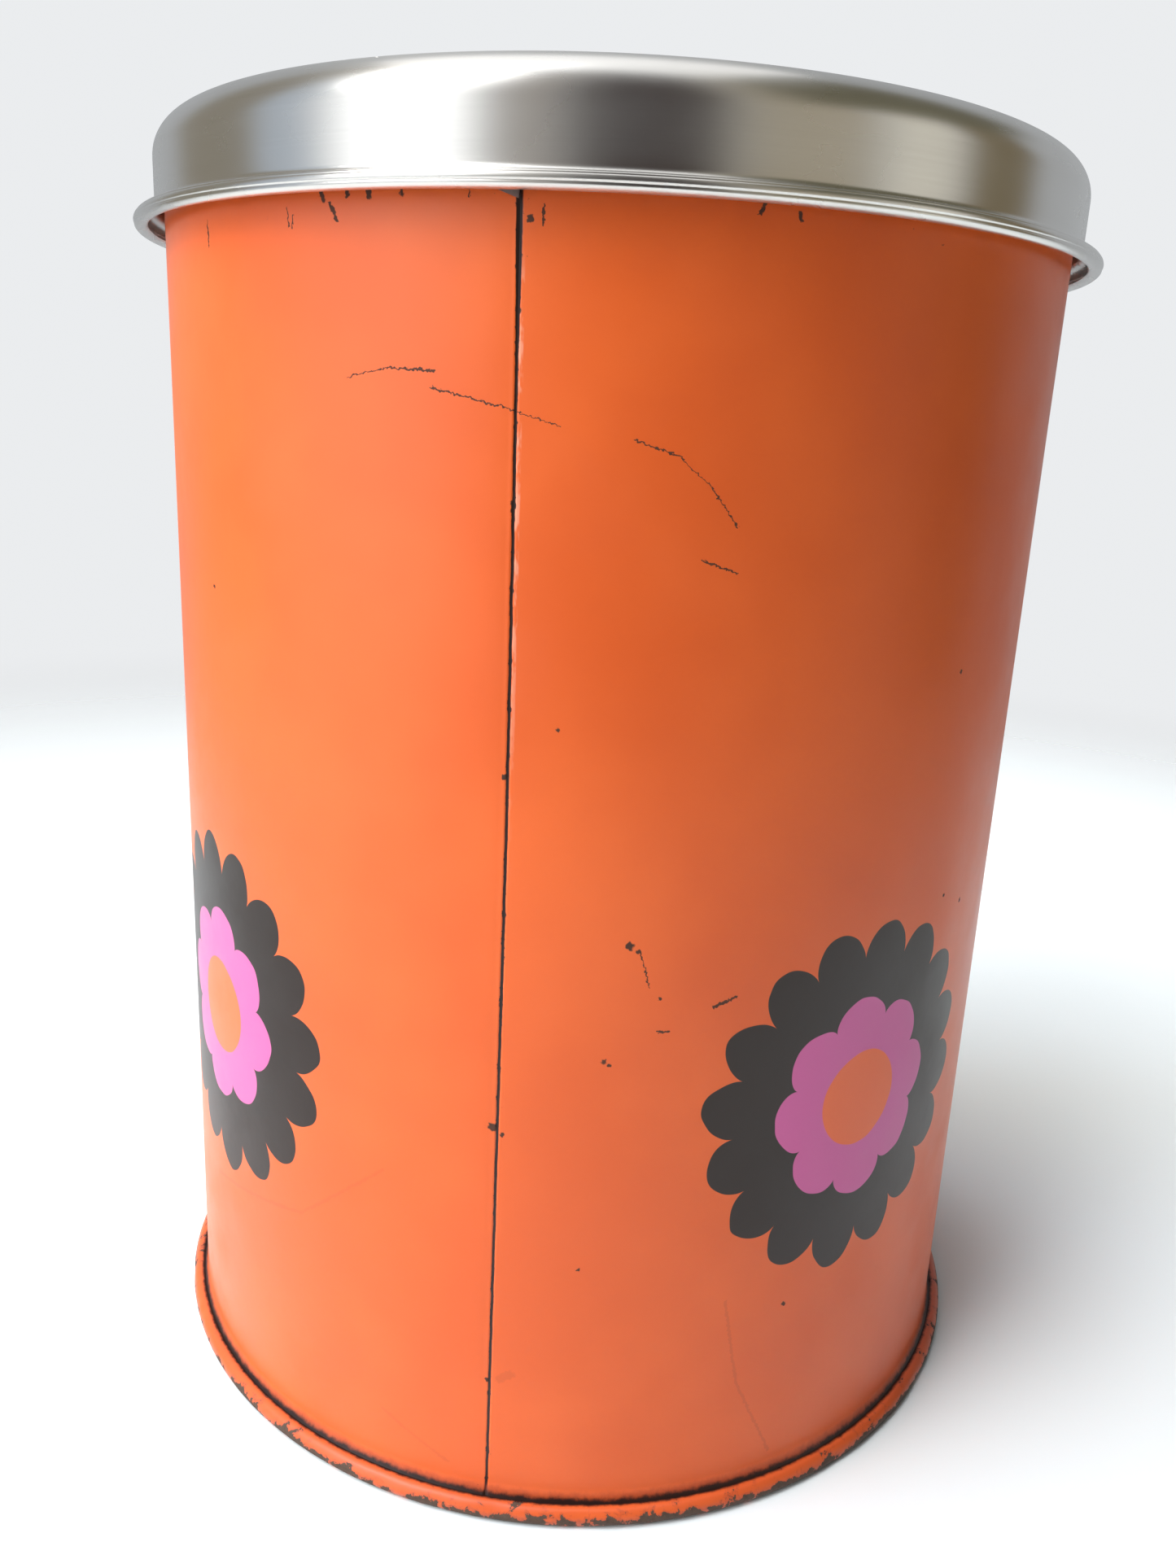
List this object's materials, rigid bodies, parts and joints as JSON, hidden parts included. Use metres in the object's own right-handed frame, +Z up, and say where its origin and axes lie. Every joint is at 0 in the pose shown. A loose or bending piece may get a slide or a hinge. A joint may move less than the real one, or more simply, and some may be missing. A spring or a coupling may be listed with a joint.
{
  "type": "pedal trash can",
  "caption": "Round pedal trash can: enamelled steel body with printed flowers, brushed steel dome lid on a rear hinge, pedal linkage and a lift-out bucket.",
  "frame": {"origin": "centre of the foot bead on the floor, on the axis of the body", "axes": "+Z up; -Y towards the pedal (front); +Y towards the lid's hinge and the body's seam (rear); X along the hinge line"},
  "size_m": [0.2964, 0.3301, 0.398],
  "materials": {
    "orange_enamel": "glossy stoved enamel, worn and chipped at the foot",
    "lid_steel": "satin brushed stainless, lightly scuffed",
    "zinc_steel": "zinc-plated pressings",
    "bright_steel": "bright drawn wire and pins",
    "black_rubber": "matt moulded rubber",
    "bucket_plastic": "fine-grained polypropylene",
    "grip_plastic": "smooth moulded plastic"
  },
  "bodies": {
    "can": {"body_shell": "orange_enamel", "base_pan": "orange_enamel", "hinge_lug_left": "zinc_steel", "hinge_lug_right": "zinc_steel", "hinge_rivets": "zinc_steel", "hinge_pin": "bright_steel", "hinge_pin_clips": "bright_steel", "rod_guide": "zinc_steel", "rod_grommet": "black_rubber", "pedal_bracket": "zinc_steel", "bracket_rivets": "zinc_steel", "pedal_axle": "bright_steel", "axle_clips": "bright_steel"},
    "lid": {"lid_shell": "lid_steel", "lid_hinge_bracket": "zinc_steel", "lid_buffers": "black_rubber"},
    "rod": {"push_rod": "bright_steel", "crank_pin": "bright_steel", "crank_pin_clips": "bright_steel", "lever_pin": "bright_steel", "lever_pin_clips": "bright_steel"},
    "pedal": {"pedal_lever": "zinc_steel", "tread_plate": "zinc_steel", "tread_rivets": "zinc_steel", "pedal_pad": "black_rubber"},
    "bucket": {"bucket": "bucket_plastic"},
    "bail": {"bail_wire": "bright_steel", "bail_grip": "grip_plastic"}
  },
  "joints": [
    {"name": "lid_hinge", "type": "hinge", "parent": "can", "child": "lid", "pos_m": [0, 0.131, 0.355], "axis": [-1, 0, 0], "range_deg": [0, 72]},
    {"name": "rod_slide", "type": "slide", "parent": "can", "child": "rod", "axis": [0, 0, 1], "range_m": [0, 0.01745]},
    {"name": "pedal_press", "type": "hinge", "parent": "can", "child": "pedal", "pos_m": [0, -0.02, 0.02189], "axis": [1, 0, 0], "range_deg": [0, 7.18]},
    {"name": "bucket_lift", "type": "slide", "parent": "can", "child": "bucket", "axis": [0, 0, 1], "range_m": [0, 0.02]},
    {"name": "bail_swing", "type": "hinge", "parent": "bucket", "child": "bail", "pos_m": [0, -0.0145, 0.322], "axis": [-1, 0, 0], "range_deg": [0, 12]}
  ],
  "couplings": [
    {"joint": "rod_slide", "follows": "lid_hinge", "m_per_rad": 0.013876},
    {"joint": "pedal_press", "follows": "lid_hinge", "ratio": 0.099696}
  ]
}
